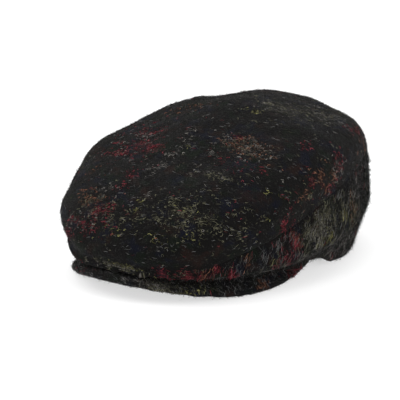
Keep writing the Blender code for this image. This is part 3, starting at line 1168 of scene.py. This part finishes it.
@dataclass
class Nap:
    """Short loose fibres that stand on the outside of a piece of cloth.

    sweep is a direction that the fibres lean along, where the cloth is brushed, and signs is the
    range of a draw whose sign turns some of them back. The other ranges are shares of the lean
    and of a yarn's colour.
    """

    count: int
    length: float = 0.0019
    width: float = 0.00014
    lean: float = 1.05
    pale: float = 0.020
    seed: int = 5
    sweep: tuple[float, float, float] | None = None
    bare: float = 0.0007
    sunk: float = 0.0001
    stray: float = 0.45
    bow: float = 0.9
    droop: float = 0.15
    tinted: float = 0.4
    dark: float = 0.0046
    signs: tuple[float, float] = (-0.4, 1.0)
    leans: tuple[float, float] = (0.45, 1.3)
    shades: tuple[float, float] = (0.35, 1.0)

    def build(self, name: str, body: Body) -> bpy.types.Object:
        """Scatter bent ribbons over the outer faces, each tapering to a point.

        Each ribbon rises from its root at its lean, bends over at its middle, and takes the tint
        of the cloth below.

        Args:
            name: the piece's name.
            body: the cloth that the fibres stand on.

        Returns:
            The piece of fibres.
        """
        chance = np.random.default_rng(self.seed)
        root, chart, up = scatter(body, [seam_room(body, self.bare)], self.count, chance)
        column = (self.count, 1)
        spin = sideways(up, chance)
        if self.sweep is not None:
            sign = np.sign(chance.uniform(*self.signs, size=column))
            spin = unit(spin * self.stray + laid(self.sweep, up) * sign)
        lean = self.lean * chance.uniform(*self.leans, size=column)
        size = self.length * chance.gamma(4.0, 0.25, size=column)
        rising = up * np.cos(lean) + spin * np.sin(lean)
        bending = unit(rising + self.bow * sideways(up, chance) - self.droop * up)
        across = sideways(rising, chance) * self.width / 2.0
        root = root - up * self.sunk
        middle = root + rising * size * 0.5
        tip = middle + bending * size * 0.5
        ends = [root - across, root + across, middle - across, middle + across, tip]
        ribbon = np.stack(ends, axis=1)
        start = np.arange(self.count)[:, None] * len(ends)
        faces = np.concatenate([start + np.array(row) for row in ((0, 1, 3), (0, 3, 2), (2, 3, 4))])
        return put_wool(name, "_wool", ribbon, faces, self.colours(chart, chance))

    def colours(self, chart: Array, chance: Chance) -> Array:
        """Colour of each fibre: a grey of random depth, or the yarn that its draw falls on.

        Args:
            chart: places on the unrolled cloth.
            chance: the seeded source of chance.

        Returns:
            A colour of four values for each fibre.
        """
        column = (len(chart), 1)
        shares = yarn_shares(chart) * self.tinted
        running = np.cumsum(shares, axis=1)
        draw = chance.uniform(size=column)
        grey = self.dark + self.pale * chance.uniform(size=column) ** 4
        colour = grey * np.array(NAP_TINT)
        for number, yarn in enumerate(Yarn):
            here = slice(number, number + 1)
            inside = (draw >= running[:, here] - shares[:, here]) & (draw < running[:, here])
            shade = chance.uniform(*self.shades, size=column)
            colour = np.where(inside, np.array(yarn.value) * shade, colour)
        return np.hstack([colour, np.ones(column)])


@dataclass
class Strands:
    """Coloured and pale yarn raised on the cloth, curled or combed along a direction.

    slim is the share of its width that a strand has at its ends. The ranges are shares of the
    size, the rise and the level, turns of a curl in radians, and bends of a combed strand.
    """

    count: int
    size: float = 0.00070
    width: float = 0.00036
    rise: float = 0.00035
    pale: float = 0.010
    level: float = 0.90
    combed: tuple[float, float, float] | None = None
    segments: int = 6
    seed: int = 21
    gathering: float = 1.4
    clump: float = 0.011
    clear: float = 0.00012
    stray: float = 0.22
    tilt: float = 0.6
    bow: float = 0.35
    oval: float = 1.5
    slim: float = 0.45
    lengths: tuple[float, float] = (0.55, 1.35)
    heights: tuple[float, float] = (0.5, 1.3)
    spans: tuple[float, float] = (1.6, 4.8)
    bends: tuple[float, float] = (1.0, 2.4)
    shades: tuple[float, float] = (0.20, 1.50)

    def build(self, name: str, body: Body) -> bpy.types.Object:
        """Lay ribbons on the outer faces.

        Roots crowd with the share of yarn and the exponential of a ripple, which gathers them.
        Each ribbon follows its own path round its root, is highest and widest at its middle, and
        is tilted.

        Args:
            name: the piece's name.
            body: the cloth that the strands lie on.

        Returns:
            The piece of strands.
        """
        chance = np.random.default_rng(self.seed)
        faces = body.faces[0]
        crowd = yarn_shares(body.chart[faces].mean(axis=1))[:, :RAISED].sum(axis=1) + self.pale
        centres = body.points[faces].mean(axis=1)
        clump = np.exp(self.gathering * ripple(centres, self.clump, CLUMP_SEED))
        keeps = [crowd, clump, seam_room(body, 0.7 * self.size)]
        root, chart, up = scatter(body, keeps, self.count, chance)
        share = np.linspace(0.0, 1.0, self.segments + 1)
        arch = np.sin(np.pi * share)
        path, across = self.paths(up, share, chance)
        column = (self.count, 1)
        height = self.clear + self.rise * arch * chance.uniform(*self.heights, size=column)
        line = root[:, None] + path + height[..., None] * up[:, None]
        tilt = chance.uniform(-self.tilt, self.tilt, size=(self.count, 1, 1))
        half = (self.width / 2.0 * (self.slim + (1.0 - self.slim) * arch))[None, :, None]
        across = (across * np.cos(tilt) + up[:, None] * np.sin(tilt)) * half
        ribbon = np.stack([line - across, line + across], axis=2)
        index = np.arange(self.count * len(share) * 2).reshape(self.count, len(share), 2)
        quads = [index[:, :-1, 0], index[:, :-1, 1], index[:, 1:, 1], index[:, 1:, 0]]
        faces = np.stack(quads, axis=-1).reshape(-1, 4)
        return put_wool(name, "_yarn", ribbon, faces, self.colours(chart, chance))

    def paths(self, up: Array, share: Array, chance: Chance) -> tuple[Array, Array]:
        """Places along each strand from its root, and the direction of its width there.

        A curl is part of an ellipse of a random span. A combed strand is a straight run along
        the combing, bowed to one side by a sine.

        Args:
            up: the cloth's normal at each root.
            share: shares of the strand's length.
            chance: the seeded source of chance.

        Returns:
            Two arrays with a row for each strand and a column for each share.
        """
        column = (self.count, 1)
        size = (self.size * chance.uniform(*self.lengths, size=column))[..., None]
        if self.combed is None:
            first = sideways(up, chance)[:, None]
            second = np.cross(up[:, None], first)
            span = chance.uniform(*self.spans, size=column)
            turn = (chance.uniform(0.0, 2.0 * np.pi, size=column) + span * share)[..., None]
            out = np.cos(turn) * first * self.oval + np.sin(turn) * second
            return size * out, unit(out)
        stray = self.stray * np.cross(up, chance.normal(size=up.shape))
        first = unit(laid(self.combed, up) + stray)[:, None]
        second = np.cross(up[:, None], first)
        bend = chance.uniform(*self.bends, size=column)
        bow = chance.uniform(-self.bow, self.bow, size=column) * np.sin(np.pi * share * bend)
        run = (share - 0.5)[None, :, None] * 2.0 * first
        return size * (run + bow[..., None] * second), second

    def colours(self, chart: Array, chance: Chance) -> Array:
        """Colour of each strand: a yarn of the plaid, or a pale grey, by their shares.

        Args:
            chart: places on the unrolled cloth.
            chance: the seeded source of chance.

        Returns:
            A colour of four values for each strand.
        """
        column = (len(chart), 1)
        palette = np.array([yarn.value for yarn in list(Yarn)[:RAISED]] + [STRAND_GREY])
        shares = np.hstack([yarn_shares(chart)[:, :RAISED], np.full(column, self.pale)])
        running = np.cumsum(shares, axis=1)
        draw = chance.uniform(size=column) * running[:, -1:]
        number = np.minimum((draw > running).sum(axis=1), len(palette) - 1)
        shade = self.level * chance.uniform(*self.shades, size=column) ** 2.5
        return np.hstack([palette[number] * shade, np.ones(column)])


@dataclass
class Crown:
    """The crown's shared surface, with its seam, folds and fine unevenness."""

    form: CapForm
    lift: float
    turns: int = 400
    softness: float = 0.0044
    seam_lap: float = 0.0002
    back_lap: float = 0.0001
    seam_pull: float = 0.0010
    seam_reach: float = 0.0024
    pucker: float = 0.25
    stitches: float = 131.0
    drift: float = 37.0
    ripples: Ripples = ((0.00055, 0.055, 3), (0.00030, 0.020, 4), (0.00014, 0.007, 6))
    swells: tuple[Swell, ...] = SWELLS
    pulls: tuple[Pull, ...] = PULLS

    def __post_init__(self) -> None:
        """Work out the directions, the rings, the seam's course and the profile's length."""
        self.angles = np.arange(self.turns) * 2.0 * np.pi / self.turns
        self.reach, self.rise = self.form.ring_grid(self.angles, self.lift)
        chords = np.hypot(np.diff(self.reach, axis=1), np.diff(self.rise, axis=1)).mean(axis=0)
        self.knots = np.append(0.0, np.cumsum(chords))
        self.top = self.knots[-2]
        rows = np.broadcast_to(np.linspace(0.0, self.top, 240), (self.turns, 240))
        self.climbed = climb(self.plain(rows))
        stations = np.array(SEAM_COURSE)
        turned = (np.degrees(self.angles) + 180.0) % 360.0 - 180.0
        ring = np.interp(turned, stations[:, 0], stations[:, 1])
        window = np.exp(-((np.arange(-12, 13) / 6.0) ** 2))
        wrapped = np.concatenate([ring[-12:], ring, ring[:12]])
        ring = np.convolve(wrapped, window / window.sum(), mode="valid")
        self.seam = np.interp(ring, np.arange(len(self.knots)), self.knots)

    def plain(self, positions: Array) -> Array:
        """The surface without folds: reach and rise splined along the profile, turned round.

        Each place is the weighted mean of five places within the softness on both sides of it, so
        that the roll's lower edge bends as thick cloth does. The softness falls to nothing at
        the hem and at the middle.

        Args:
            positions: rows along the mean profile, with a row of them for each direction.

        Returns:
            Points by direction and then by row.
        """
        room = np.minimum(positions, self.top - positions) / (2.0 * self.softness)
        span = self.softness * np.clip(room, 0.0, 1.0)
        reach = np.zeros_like(positions)
        rise = np.zeros_like(positions)
        for shift, weight in SOFTENING:
            reach += weight * spline(self.knots, self.reach, positions + shift * span)
            rise += weight * spline(self.knots, self.rise, positions + shift * span)
        x = reach * np.sin(self.angles)[:, None]
        y = -reach * np.cos(self.angles)[:, None]
        return np.stack([x, y, rise], axis=-1)

    def normals(self, points: Array, positions: Array) -> Array:
        """Unit cross products of the steps round the cap and up the profile.

        Args:
            points: points by direction and then by row.
            positions: their places along the profile.

        Returns:
            Normals, which at the crown's middle are the mean of those around it.
        """
        round_way = np.roll(points, -1, axis=0) - np.roll(points, 1, axis=0)
        crossed = np.cross(round_way, row_slopes(points, positions))
        if np.linalg.norm(crossed[0, -1]) < 1e-9:
            crossed[:, -1] = crossed[:, -2].sum(axis=0)
        return unit(crossed)

    def surface(self, positions: Array) -> tuple[Array, Array]:
        """Outer surface with every fold, and its normals.

        Each swell pushes by the exponential of minus the squared distance in its own spread, and
        each pull draws in the same way. The seam is drawn in by its distance along the profile,
        and its pucker is the product of two sines of the turn.

        Args:
            positions: rows along the mean profile, from the hem to the middle.

        Returns:
            Points and normals, by direction and then by row.
        """
        form = self.form
        points = self.plain(positions)
        lean = self.normals(points, positions)
        push = np.zeros(points.shape[:2])
        scale = np.array([form.crown_half, form.crown_back, form.height])
        for swell in self.swells:
            for side in (-1.0, 1.0) if swell.paired else (1.0,):
                centre = np.array([side * swell.across, swell.back, swell.up]) * scale
                far = np.linalg.norm(points - centre, axis=-1) / (swell.spread * form.height)
                push += swell.swell * form.cloth * np.exp(-far * far)
        push += uneven(points, self.ripples)
        seam = np.abs(positions - self.seam[:, None])
        turned = np.arctan2(points[..., 0], -points[..., 1])
        stitch = np.sin(turned * self.stitches) * np.sin(turned * self.drift + 1.0)
        pucker = 1.0 + self.pucker * stitch
        push -= self.seam_pull * np.exp(-((seam / self.seam_reach) ** 2)) * pucker
        drawn = push[..., None] * lean
        for pull in self.pulls:
            centre = np.array([pull.across, pull.back, pull.up]) * scale
            far = np.linalg.norm(points - centre, axis=-1) / (pull.spread * form.height)
            draw = np.array([pull.draw_across, pull.draw_back, pull.draw_up]) * form.cloth
            drawn += np.exp(-far * far)[..., None] * draw
        points = points + drawn
        return points, self.normals(points, positions)

    def panel(
        self, start: Array, stop: Array, step: float, both: bool
    ) -> tuple[Array, Array, Array]:
        """The surface between two edges, in its place in the frame.

        Args:
            start: place of the first edge in each direction.
            stop: place of the last row in each direction.
            step: mean spacing of the rows.
            both: whether the last row is an edge too.

        Returns:
            Points, normals and chart, by direction and then by row.
        """
        rows = paced(start, stop, step, np.array(EDGE_ROWS) * self.form.cloth / 2.0, both)
        points, normals = self.surface(rows)
        points[..., 1] += self.form.centring
        return points, normals, self.chart(rows)

    def chart(self, positions: Array) -> Array:
        """Places on the unrolled cloth: the length from the middle, laid out in its direction.

        Args:
            positions: rows along the mean profile.

        Returns:
            Places across and back, by direction and then by row.
        """
        count = self.climbed.shape[1]
        spot = positions / self.top * (count - 1)
        low = np.clip(spot.astype(int), 0, count - 2)
        part = spot - low
        ends = [np.take_along_axis(self.climbed, low + move, 1) for move in (0, 1)]
        down = self.climbed[:, -1:] - (ends[0] * (1.0 - part) + ends[1] * part)
        across = down * np.sin(self.angles)[:, None]
        back = -down * np.cos(self.angles)[:, None]
        return np.stack([across, back], axis=-1)


def climb(points: Array) -> Array:
    """Length along each row of points, from its start."""
    steps = np.linalg.norm(np.diff(points, axis=1), axis=-1)
    return np.concatenate([np.zeros((len(points), 1)), np.cumsum(steps, axis=1)], axis=1)


@dataclass(frozen=True)
class Cover:
    """The cloth of one node with its loose wool."""

    node: str
    tweed: Tweed
    nap: Nap
    curls: Strands
    streaks: Strands

    def build(self, body: Body) -> list[bpy.types.Object]:
        """Build the cloth and its loose wool, and settle them on the cap.

        Args:
            body: the cloth's shape.

        Returns:
            The cloth, its nap, its curls and its combed strands.
        """
        cloth = put_mesh(self.node + "_cloth", body.points, body.faces)
        dress(cloth, body, self.tweed)
        wool = {"_nap": self.nap, "_curls": self.curls, "_streaks": self.streaks}
        pieces = [cloth] + [kind.build(self.node + end, body) for end, kind in wool.items()]
        for piece in pieces:
            settle(piece, self.node, replaced=piece is cloth)
        return pieces


@dataclass
class TopPanel:
    """The large top panel, from the seam to the crown's middle."""

    crown: Crown
    step: float = 0.0019
    fibres: int = 42000
    curls: int = 4100
    streaks: int = 3500

    def build(self) -> list[bpy.types.Object]:
        """Build the panel and its loose wool.

        Returns:
            The panel, its nap, its curls and its combed strands.
        """
        crown = self.crown
        start = crown.seam - crown.seam_lap / 2.0
        stop = np.full(crown.turns, crown.top)
        points, normals, chart = crown.panel(start, stop, self.step, both=False)
        body = cloth_shell(Surface(points, normals, chart, chart), crown.form.cloth, joined=True)
        streaks = Strands(
            self.streaks, 0.0017, 0.00028, pale=0.04, combed=(1.0, 0.25, 0.0), seed=22
        )
        cover = Cover("crown_top", Tweed(), Nap(self.fibres), Strands(self.curls), streaks)
        panel, *loose = cover.build(body)
        area = flat_area(body)
        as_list(loose)
        return [panel, *loose]


@dataclass
class SidePanel:
    """One side panel, from the hem up to the seam and from the front to the back."""

    crown: Crown
    side: Side
    step: float = 0.0019
    fibres: int = 20000
    curls: int = 1000
    streaks: int = 4200

    def build(self) -> list[bpy.types.Object]:
        """Build the panel and its loose wool.

        Returns:
            The panel, its nap, its curls and its combed strands.
        """
        crown = self.crown
        start = np.zeros(crown.turns)
        stop = crown.seam + crown.seam_lap / 2.0
        points, normals, chart = crown.panel(start, stop, self.step, both=True)
        low, high = (turn * crown.turns // 2 for turn in self.side.value)
        pick = np.arange(low, high + 1) % crown.turns
        points, normals, chart = points[pick], normals[pick], chart[pick]
        sign = 1.0 if self.side is Side.LEFT else -1.0
        points[[0, -1], :, 0] = -sign * crown.back_lap / 2.0
        girth = climb(points[:, points.shape[1] // 2][None])[0][:, None]
        climbed = climb(points)
        grain = np.stack([np.broadcast_to(girth, climbed.shape), climbed], axis=-1)
        surface = Surface(points, normals, grain, chart)
        body = cloth_shell(surface, crown.form.cloth, joined=False)
        panel, *loose = Cover(
            "side_" + self.side.name.lower(),
            Tweed(fleck_length=0.0034, fleck_width=0.0009, lean=1.35),
            Nap(self.fibres, 0.0034, 0.0002, pale=0.08, seed=7 + low, sweep=(0.0, -0.6, -1.0)),
            Strands(self.curls, seed=31 + low),
            Strands(
                self.streaks, 0.0032, 0.00028, pale=0.07, combed=(0.0, -0.5, -1.0), seed=33 + low
            ),
        ).build(body)
        area = flat_area(body)
        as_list(loose)
        return [panel, *loose]


@dataclass
class Peak:
    """The stiff peak: a bent board with a rounded edge, covered in the same cloth."""

    form: CapForm
    turns: int = 170
    steps: int = 20
    edge_steps: int = 12
    fibres: int = 16000
    curls: int = 1200
    streaks: int = 2400
    chart_back: float = 0.30
    ripples: Ripples = ((0.00025, 0.012, 9), (0.00012, 0.004, 10))

    def sections(self, angles: Array) -> Array:
        """Closed cross-sections of the board on rays from the origin.

        The board's middle runs from under the hem to the outline less half the thickness. Its
        top and underside lie half a thickness off it, square to its slope, and a half circle
        joins them at the edge.

        Args:
            angles: directions from the front.

        Returns:
            Points by direction and then round the section, from the inner end of the top.
        """
        form = self.form
        inner = form.head_reach(angles) - form.peak_ledge
        outer = form.peak_reach(angles) - form.board / 2.0
        shares = np.linspace(0.0, 1.0, self.steps + 1)
        reach = inner[:, None] + (outer - inner)[:, None] * shares
        ray_x = np.sin(angles)[:, None]
        ray_y = -np.cos(angles)[:, None]
        middle = form.board_fall(reach * ray_x, reach * ray_y)
        arched = 2.0 * form.peak_arch * reach * ray_x**2 / form.peak_half**2
        slope = form.peak_slope * ray_y - arched
        tilt = np.arctan(slope)
        half = form.board / 2.0
        turn = np.pi / 2.0 - np.pi * np.arange(1, self.edge_steps) / self.edge_steps + tilt[:, -1:]
        top = (reach - half * np.sin(tilt), middle + half * np.cos(tilt))
        edge = (reach[:, -1:] + half * np.cos(turn), middle[:, -1:] + half * np.sin(turn))
        low = (reach + half * np.sin(tilt), middle - half * np.cos(tilt))
        loop_reach = np.hstack([top[0], edge[0], low[0][:, ::-1]])
        loop_height = np.hstack([top[1], edge[1], low[1][:, ::-1]])
        return np.stack([loop_reach * ray_x, loop_reach * ray_y, loop_height], axis=-1)

    def lift(self) -> float:
        """How far the board is lifted so that its low edges touch the floor."""
        tip = self.form.peak_tip()
        return float(-self.sections(np.linspace(-tip, tip, self.turns))[..., 2].min())

    def build(self, lift: float) -> list[bpy.types.Object]:
        """Build the peak and its loose wool.

        Args:
            lift: how far the board is lifted off its own zero.

        Returns:
            The peak, its nap, its curls and its combed strands.
        """
        tip = self.form.peak_tip()
        points = self.sections(np.linspace(-tip, tip, self.turns))
        points[..., 2] += lift
        count, loop = points.shape[:2]
        index = np.arange(count * loop).reshape(count, loop)
        closed = np.hstack([index, index[:, :1]])
        grain = np.stack([points[..., 0], climb(points)], axis=-1)
        chart = points[..., :2] + np.array([0.0, -self.chart_back])
        normals = self.outward(points)
        shake = uneven(points, self.ripples)
        points = points + np.minimum(shake, points[..., 2])[..., None] * normals
        points[..., 1] += self.form.centring
        points[..., 2] = np.maximum(points[..., 2], 0.0)
        faces = [grid_faces(closed[:, ::-1]), index[:1, ::-1], index[-1:]]
        edge = np.full(count * loop, self.form.peak_half)
        places = points.reshape(-1, 3)
        body = Body(places, faces, grain.reshape(-1, 2), chart.reshape(-1, 2), edge)
        return Cover(
            "peak",
            Tweed(lean=0.5),
            Nap(self.fibres, 0.0022, pale=0.22, seed=11),
            Strands(self.curls, pale=0.16, seed=41),
            Strands(self.streaks, 0.0024, 0.00030, pale=0.20, combed=(0.8, -0.3, -0.5), seed=42),
        ).build(body)

    def outward(self, points: Array) -> Array:
        """Unit normals of the looped sections: cross products of the steps along and round them.

        Args:
            points: points by direction and then round the section.

        Returns:
            Normals, shaped as the points.
        """
        along = np.gradient(points, axis=0)
        round_way = np.roll(points, -1, axis=1) - np.roll(points, 1, axis=1)
        return unit(np.cross(round_way, along))


def flat_area(body: Body) -> float:
    """Area of the cloth before sewing: half the area of the shell's faces, cut in triangles.

    Args:
        body: the cloth's shell.

    Returns:
        The area in square metres, to four places.
    """
    total = 0.0
    for faces in body.faces:
        corners = body.points[faces]
        for last in range(2, faces.shape[1]):
            sides = corners[:, last - 1] - corners[:, 0], corners[:, last] - corners[:, 0]
            total += np.linalg.norm(np.cross(*sides), axis=1).sum() / 2.0
    return round(total / 2.0, 4)


def settle(piece: bpy.types.Object, node: str, replaced: bool) -> None:
    """Ride the piece on the cap's one body, and hide the solid it stands for.

    Args:
        piece: the piece.
        node: its node's name.
        replaced: whether the piece stands for the node's solid.
    """
    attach(piece, "root")
    if replaced:
        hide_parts(node)
    piece.data.update()
    LOG.info("%s: %d faces", piece.name, len(piece.data.polygons))


class Lamp(NamedTuple):
    """A square soft light that faces the cap, with its side in metres and its power in watts."""

    name: str
    place: tuple[float, float, float]
    size: float
    power: float


LAMPS: tuple[Lamp, ...] = (
    Lamp("key_light", (-2.0, -1.4, 1.9), 1.6, 37.0),
    Lamp("top_light", (-0.2, 0.4, 2.6), 2.4, 28.0),
    Lamp("side_light", (2.2, 0.1, 0.7), 1.2, 19.5),
)


@dataclass(frozen=True)
class Studio:
    """Pale floor, soft lights and the camera at the photograph's angle."""

    azimuth: float = 39.64
    elevation: float = 15.23
    roll: float = 1.315
    distance: float = 1.6
    lens: float = 178.2
    aim_height: float = 0.06
    aim_right: float = -0.01345
    aim_up: float = -0.01156
    floor_half: float = 6.0
    floor_drop: float = 0.0001
    lit_height: float = 0.05
    sky: float = 0.85

    def build(self) -> None:
        """Add the floor, the lights, the sky and the camera."""
        self.add_floor()
        self.add_camera()
        for lamp in LAMPS:
            self.add_lamp(lamp)
        world = bpy.data.worlds.new("studio_sky")
        world.use_nodes = True
        back = world.node_tree.nodes["Background"]
        back.inputs["Color"].default_value = rgba(WHITE)
        back.inputs["Strength"].default_value = self.sky
        bpy.context.scene.world = world
        bpy.context.scene.view_settings.view_transform = "Standard"

    def add_floor(self) -> None:
        """A wide level square just under the cap."""
        half = self.floor_half
        corners = np.array([(-half, -half), (half, -half), (half, half), (-half, half)])
        points = np.column_stack([corners, np.full(4, -self.floor_drop)])
        floor = put_mesh("floor", points, [np.arange(4).reshape(1, 4)])
        floor.data.materials.append(Paper().graph("floor_paper"))

    def add_lamp(self, lamp: Lamp) -> None:
        """Put a lamp in its place, turned towards the middle of the cap.

        Args:
            lamp: the lamp.
        """
        light = bpy.data.lights.new(lamp.name, "AREA")
        light.size = lamp.size
        light.energy = lamp.power
        towards = unit(np.array([0.0, 0.0, self.lit_height]) - np.array(lamp.place))
        side = unit(np.cross(towards, np.array([0.0, 0.0, 1.0])))
        place_item(lamp.name, light, side, np.cross(side, towards), -towards, lamp.place)

    def add_camera(self) -> None:
        """The camera on a sphere round the cap, turned a little about its line of sight."""
        a, e, r = np.radians([self.azimuth, self.elevation, self.roll])
        right = np.array([np.cos(a), np.sin(a), 0.0])
        back = np.array([np.sin(a) * np.cos(e), -np.cos(a) * np.cos(e), np.sin(e)])
        up = np.cross(back, right)
        aim = np.array([0.0, 0.0, self.aim_height]) + self.aim_right * right + self.aim_up * up
        camera = bpy.data.cameras.new("photo_camera")
        camera.lens = self.lens
        camera.sensor_width = 36.0
        camera.clip_end = 40.0
        turned_right = right * np.cos(r) - up * np.sin(r)
        turned_up = up * np.cos(r) + right * np.sin(r)
        place = aim + self.distance * back
        item = place_item("photo_camera", camera, turned_right, turned_up, back, place)
        bpy.context.scene.camera = item


def place_item(
    name: str, data: bpy.types.ID, x: Array, y: Array, z: Array, place: Sequence[float]
) -> bpy.types.Object:
    """Add an object with its three axes turned to these and its origin at a place.

    Args:
        name: the object's name.
        data: its lamp or camera.
        x: its first axis.
        y: its second axis.
        z: its third axis.
        place: its origin.

    Returns:
        The object.
    """
    item = bpy.data.objects.new(name, data)
    matrix = np.eye(4)
    matrix[:3, 0], matrix[:3, 1], matrix[:3, 2], matrix[:3, 3] = x, y, z, place
    item.matrix_world = [list(row) for row in matrix.T]
    bpy.context.scene.collection.objects.link(item)
    return item


def main() -> None:
    """Load the frame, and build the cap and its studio."""
    logging.basicConfig(level=logging.INFO, format="%(name)s: %(message)s")
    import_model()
    Studio().build()
    form = CapForm()
    peak = Peak(form)
    lift = peak.lift()
    crown = Crown(form, lift)
    pieces = TopPanel(crown).build()
    pieces += SidePanel(crown, Side.LEFT).build()
    pieces += SidePanel(crown, Side.RIGHT, fibres=17000, streaks=2700).build()
    pieces += peak.build(lift)
    LOG.info("%d pieces", len(pieces))


if __name__ == "__main__":
    main()
